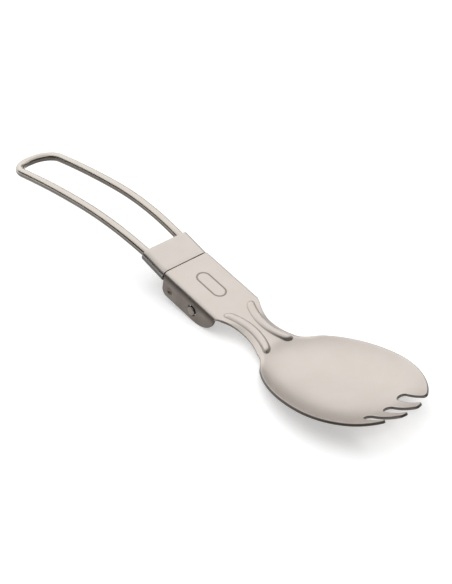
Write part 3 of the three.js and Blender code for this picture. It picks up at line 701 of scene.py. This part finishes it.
def end_fans(rows, cols):
    """Triangles from the first and the last row of a grid to two end points, counted after the grid's own."""
    first, last = np.arange(cols), (rows - 1) * cols + np.arange(cols)
    pole = np.full(cols, rows * cols)
    return np.concatenate([
        np.stack([pole, np.roll(first, -1), first], -1),
        np.stack([pole + 1, last, np.roll(last, -1)], -1),
    ])


wire_line, wire_normal = on_leg(wire_s, wire_y)
wire_points = swept_round(wire_line, wire_normal, WIRE_RADIUS * share, AROUND).reshape(-1, 3)
pin_ends, _ = on_leg(np.full(2, -PIVOT_REACH), np.array([PIN_END, -PIN_END]))
handle = new_piece(
    "bent_wire_handle",
    on_table(np.concatenate([wire_points, pin_ends])),
    wrapped(len(wire_s), AROUND),
    end_fans(len(wire_s), AROUND),
)

# The UV map runs along the wire, and from its underside up to its top. On the pins it holds one middle value.
WIRE_SPAN, PIN_SHADE = 250.0, 0.57
run = np.concatenate([[0], np.cumsum(np.linalg.norm(np.diff(wire_line, axis=0), axis=1))])
side_share = np.abs(np.linspace(-1, 1, AROUND, endpoint=False))
# The pins take a middle value, and with it part of the painted shade of the wire's underside.
on_pin = np.clip((wire_s + PIVOT_REACH) / PIN_BEND, 0, 1)
side_share = PIN_SHADE + on_pin[:, None] * (side_share - PIN_SHADE)
wire_uv = np.stack(np.broadcast_arrays((run / WIRE_SPAN)[:, None], side_share), -1).reshape(-1, 2)
give_uv(handle, np.concatenate([wire_uv, [[0, PIN_SHADE], [run[-1] / WIRE_SPAN, PIN_SHADE]]]))

# Drawn wire: fine lines along its length and a little more polish than the sheet. Its sides and underside
# carry
# painted shade: a dark colour that stands in for the dark surroundings they would mirror.
BRIGHT, DRAWN, WIRE_UNDER_SHADE = (0.53, 0.49, 0.445, 1), (0.485, 0.445, 0.40, 1), (0.085, 0.072, 0.058, 1)
WIRE_LINES, WIRE_STRETCH, WIRE_CLOUDS, WIRE_LINE_HEIGHT = 60.0, (0.6, 1.6, 1.0), 140.0, 0.000006
WIRE_SHADE_END, WIRE_SHADE_GAIN, SHADE_LEAST, SHADE_CLOUDS = 0.65, 9.0, 0.85, 0.15
WIRE_ROUGH, WIRE_ROUGH_LINES, WIRE_ROUGH_CLOUDS = 0.16, 0.10, 0.06
finish, tree, shader, noise = metal("drawn_titanium_wire")
wire_place, _, around = uv_place(tree)
lines = noise(WIRE_LINES, 3.0, WIRE_STRETCH, wire_place)
clouds = noise(WIRE_CLOUDS, 2.0)
below = ((WIRE_SHADE_END - around) * WIRE_SHADE_GAIN).clamped()
colour = mixed(tree, clouds, BRIGHT, DRAWN)
# Painted shade: the sides and underside are mixed towards a dark colour.
colour = mixed(tree, below * (SHADE_LEAST + clouds * SHADE_CLOUDS), colour, WIRE_UNDER_SHADE)
roughness = WIRE_ROUGH + lines * WIRE_ROUGH_LINES + clouds * WIRE_ROUGH_CLOUDS
wire_up(tree, shader, colour, roughness, lines, WIRE_LINE_HEIGHT)
handle.data.materials.append(finish)
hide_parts("wire_handle")
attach(handle, "handle")

# Lock sleeve: a short tube of 0.5 mm titanium sheet, flattened round both legs. It slides along them, and
# butts against the plate's rear edge when the handle is locked open.
SLEEVE_LENGTH, SLEEVE_SHEET, SEAM_GAP = 9.6, 0.5, 0.5
SLEEVE_INNER_ROUND, SLEEVE_INNER_HALF, SLEEVE_EDGE = 1.6, 8.18, 0.18
EDGE_POINTS, RUN_POINTS, SIDE_POINTS, FLAT_POINTS = 6, 7, 17, 13
sleeve_s = SEAM_GAP + SLEEVE_LENGTH / 2

# The wall's section, once round it: along the outside, round one end, back along the inside, round the other.
edge_turn = np.linspace(0, QUARTER, EDGE_POINTS)
end_turn = np.concatenate([edge_turn, QUARTER + edge_turn])
wall = np.repeat([SLEEVE_SHEET - SLEEVE_EDGE, SLEEVE_EDGE], EDGE_POINTS) + SLEEVE_EDGE * np.cos(end_turn)
reach = SLEEVE_LENGTH / 2 - SLEEVE_EDGE + SLEEVE_EDGE * np.sin(end_turn)
out_run = np.linspace(-1, 1, RUN_POINTS + 2)[1:-1] * (SLEEVE_LENGTH / 2 - SLEEVE_EDGE)
profile_x = np.concatenate([out_run, reach, out_run[::-1], -reach[::-1]])
profile_r = SLEEVE_INNER_ROUND + np.concatenate([
    np.full(RUN_POINTS, SLEEVE_SHEET), wall, np.zeros(RUN_POINTS), wall[::-1],
])

# The way round the tube: one round side, the flat top, the other round side and the flat underside.
flat_half = SLEEVE_INNER_HALF - SLEEVE_INNER_ROUND
side_turn = np.linspace(-QUARTER, QUARTER, SIDE_POINTS)
flat = np.linspace(1, -1, FLAT_POINTS + 2)[1:-1] * flat_half
centre_y = np.concatenate([
    np.full(SIDE_POINTS, flat_half), flat, np.full(SIDE_POINTS, -flat_half), -flat,
])
out_turn = np.concatenate([
    side_turn, np.full(FLAT_POINTS, QUARTER), side_turn + 2 * QUARTER, np.full(FLAT_POINTS, 3 * QUARTER),
])


def sleeve_surface(x, radius, centre_y, angle):
    """The wall's rounded section carried round a flattened ring: each place lies its radius out from the
    nearest point of the ring's middle line, in the direction of the angle."""
    y = centre_y[None] + radius[:, None] * np.cos(angle)[None]
    z = radius[:, None] * np.sin(angle)[None]
    return np.stack(np.broadcast_arrays(x[:, None], y, z), -1)


sleeve_middle, _ = on_leg(np.array([sleeve_s]), np.zeros(1))
tilt = SEAT_ANGLE + sleeve_s / ARCH_RADIUS
local = sleeve_surface(profile_x, profile_r, centre_y, out_turn)
turned = np.stack([
    local[..., 0] * np.cos(tilt) - local[..., 2] * np.sin(tilt),
    local[..., 1],
    local[..., 0] * np.sin(tilt) + local[..., 2] * np.cos(tilt),
], -1) + sleeve_middle[0]
sleeve_quads = wrapped(len(profile_x), len(centre_y), True)
sleeve = new_piece("flattened_sleeve", on_table(turned.reshape(-1, 3)), sleeve_quads)

# The UV map runs along the sleeve, and from its underside up to its top.
sleeve_uv = np.broadcast_arrays(profile_x[:, None] / SLEEVE_LENGTH + 0.5, 0.5 + 0.5 * np.sin(out_turn)[None])
give_uv(sleeve, np.stack(sleeve_uv, -1).reshape(-1, 2))

# Satin sheet with faint lines across it, and painted shade, a dark colour, on its sides and underside.
SATIN, SHADED, SLEEVE_UNDER_SHADE = (0.515, 0.475, 0.44, 1), (0.48, 0.44, 0.405, 1), (0.085, 0.079, 0.074, 1)
SLEEVE_LINES, SLEEVE_STRETCH, SLEEVE_CLOUDS, SLEEVE_LINE_HEIGHT = 900.0, (3.0, 0.12, 3.0), 160.0, 0.000008
SLEEVE_SHADE_END, SLEEVE_SHADE_GAIN = 0.80, 4.0
SLEEVE_ROUGH, SLEEVE_ROUGH_CLOUDS, SLEEVE_ROUGH_LINES = 0.24, 0.08, 0.10
finish, tree, shader, noise = metal("satin_titanium_sleeve")
clouds = noise(SLEEVE_CLOUDS, 3.0)
lines = noise(SLEEVE_LINES, 2.0, SLEEVE_STRETCH)
_, _, around = uv_place(tree)
below = ((SLEEVE_SHADE_END - around) * SLEEVE_SHADE_GAIN).clamped()
colour = mixed(tree, clouds, SATIN, SHADED)
# Painted shade: the sides and underside are mixed towards a dark colour.
colour = mixed(tree, below * (SHADE_LEAST + clouds * SHADE_CLOUDS), colour, SLEEVE_UNDER_SHADE)
roughness = SLEEVE_ROUGH + clouds * SLEEVE_ROUGH_CLOUDS + lines * SLEEVE_ROUGH_LINES
wire_up(tree, shader, colour, roughness, lines, SLEEVE_LINE_HEIGHT)
sleeve.data.materials.append(finish)
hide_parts("lock_sleeve")
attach(sleeve, "sleeve")

# Table top and studio: a plain white floor, a wide soft light from behind, one above that casts the shadow,
# and a pale world. A dark curtain and a grey card, which the camera doesn't see, stand round the table for the
# metal to mirror. The camera stands where the photograph was taken from.
FLOOR_HALF, FLOOR_WHITE, FLOOR_ROUGH, FLOOR_GLOW = 4.0, 0.8, 0.9, 0.45


def plain(name, grey, roughness):
    """A new plain grey material: gives the material, its tree and its shader node."""
    material = bpy.data.materials.new(name)
    material.use_nodes = True
    tree = material.node_tree
    shader = tree.nodes["Principled BSDF"]
    shader.inputs["Base Color"].default_value = (grey, grey, grey, 1)
    shader.inputs["Roughness"].default_value = roughness
    return material, tree, shader


def seen_rays(tree):
    """1 on the rays that show a surface, straight, mirrored or through glass, and 0 on those that only light
    other surfaces."""
    rays = Shade.node(tree, "ShaderNodeLightPath").outputs
    seen = Shade(rays["Is Camera Ray"]) + Shade(rays["Is Glossy Ray"]) + Shade(rays["Is Transmission Ray"])
    return seen.maths("MINIMUM", 1.0)


floor_corners = FLOOR_HALF * np.array([[-1, -1, 0], [1, -1, 0], [1, 1, 0], [-1, 1, 0]])
floor = new_piece("floor", floor_corners, np.arange(4)[None])
finish, tree, shader = plain("white_floor", FLOOR_WHITE, FLOOR_ROUGH)
shader.inputs["Specular IOR Level"].default_value = 0.0
glow = Shade.node(tree, "ShaderNodeEmission", Strength=seen_rays(tree) * FLOOR_GLOW)
both = Shade.node(tree, "ShaderNodeAddShader", i0=Shade(shader.outputs[0]), i1=Shade(glow.outputs[0]))
tree.links.new(both.outputs[0], tree.nodes["Material Output"].inputs[0])
floor.data.materials.append(finish)

# The two screens, on one circle round the table. Each top is given by its rise in degrees, seen from the
# table's middle.
SCREEN_RADIUS, SCREEN_FOOT, SCREEN_ROUGH = 0.6, 0.004, 1.0
CURTAIN_LOW, CURTAIN_HIGH, CURTAIN_CLIMB, CURTAIN_CORNER = 20.0, 38.0, 0.75, 222.0
CARD_LOW, CARD_HIGH, CARD_END = 0.5, 14.0, 150.0


def screen(name, azimuth, rise, cloth, grey):
    """An upright screen that the camera doesn't see: its foot lies on the circle at the azimuths, and its top
    stands the circle's radius times the tangent of the rise above that."""
    turn = np.radians(azimuth)
    foot = SCREEN_RADIUS * np.stack([np.cos(turn), np.sin(turn), 0 * turn], -1)
    height = np.stack([0 * turn, 0 * turn, SCREEN_RADIUS * np.tan(np.radians(rise))], -1)
    points = np.concatenate([foot + [0, 0, SCREEN_FOOT], foot + height])
    at = np.arange(len(points)).reshape(2, -1)
    piece = new_piece(name, points, np.stack([at[0, :-1], at[1, :-1], at[1, 1:], at[0, 1:]], -1))
    piece.data.materials.append(plain(cloth, grey, SCREEN_ROUGH)[0])
    piece.visible_camera = False
    return piece


azimuth = np.linspace(193, 405, 44)
rise = np.clip(CURTAIN_LOW + CURTAIN_CLIMB * (azimuth - CURTAIN_CORNER), CURTAIN_LOW, CURTAIN_HIGH)
curtain = screen("curtain", azimuth, rise, "dark_cloth", grey=0.01)

azimuth = np.linspace(45, CARD_END, 34)
rise = np.clip(CARD_END - azimuth, CARD_LOW, CARD_HIGH)
backdrop = screen("backdrop", azimuth, rise, "grey_card", grey=0.25)

WORLD_LIGHT, WORLD_SEEN = 0.45, 0.55
world = bpy.data.worlds.new("pale_studio")
bpy.context.scene.world = world
world.use_nodes = True
tree = world.node_tree
strength = WORLD_LIGHT + seen_rays(tree) * WORLD_SEEN
tree.links.new(strength.socket, tree.nodes["Background"].inputs["Strength"])
tree.nodes["Background"].inputs["Color"].default_value = (1, 1, 1, 1)


def soft_light(name, place, aim, width, height, watts):
    """A wide soft light that faces a point."""
    lamp = bpy.data.lights.new(name, "AREA")
    lamp.shape, lamp.size, lamp.size_y, lamp.energy = "RECTANGLE", width, height, watts
    holder = bpy.data.objects.new(name, lamp)
    facing = (Vector(place) - Vector(aim)).to_track_quat("Z", "Y").to_matrix().to_4x4()
    holder.matrix_world = Matrix.Translation(place) @ facing
    bpy.context.scene.collection.objects.link(holder)
    return holder


soft_light("overhead", (-0.624, 0.252, 0.627), aim=(0.0, 0.0, 0.0), width=2.2, height=1.4, watts=4.84)
top_light = soft_light("top", (0.20, -0.06, 0.98), aim=(0.05, -0.03, 0.0), width=1.1, height=1.1, watts=5.4)
top_light.visible_glossy = False

CAMERA_TARGET = Vector((0.013446, -0.000733, 0.009961))
CAMERA_BACK = Vector((0.60304, -0.53844, 0.58858)).normalized()
CAMERA_UP, CAMERA_DISTANCE = Vector((-0.0096, 0.0, 1.0)), 0.41527
LENS, SENSOR, CLIP_START, CLIP_END = 89.76, 36.0, 0.01, 20.0
right = CAMERA_UP.cross(CAMERA_BACK).normalized()
facing = Matrix((right, CAMERA_BACK.cross(right), CAMERA_BACK)).transposed().to_4x4()
lens = bpy.data.cameras.new("camera")
lens.lens, lens.sensor_width, lens.clip_start, lens.clip_end = LENS, SENSOR, CLIP_START, CLIP_END
camera = bpy.data.objects.new("camera", lens)
camera.matrix_world = Matrix.Translation(CAMERA_TARGET + CAMERA_DISTANCE * CAMERA_BACK) @ facing
bpy.context.scene.collection.objects.link(camera)
bpy.context.scene.camera = camera
bpy.context.scene.view_settings.view_transform = "Standard"
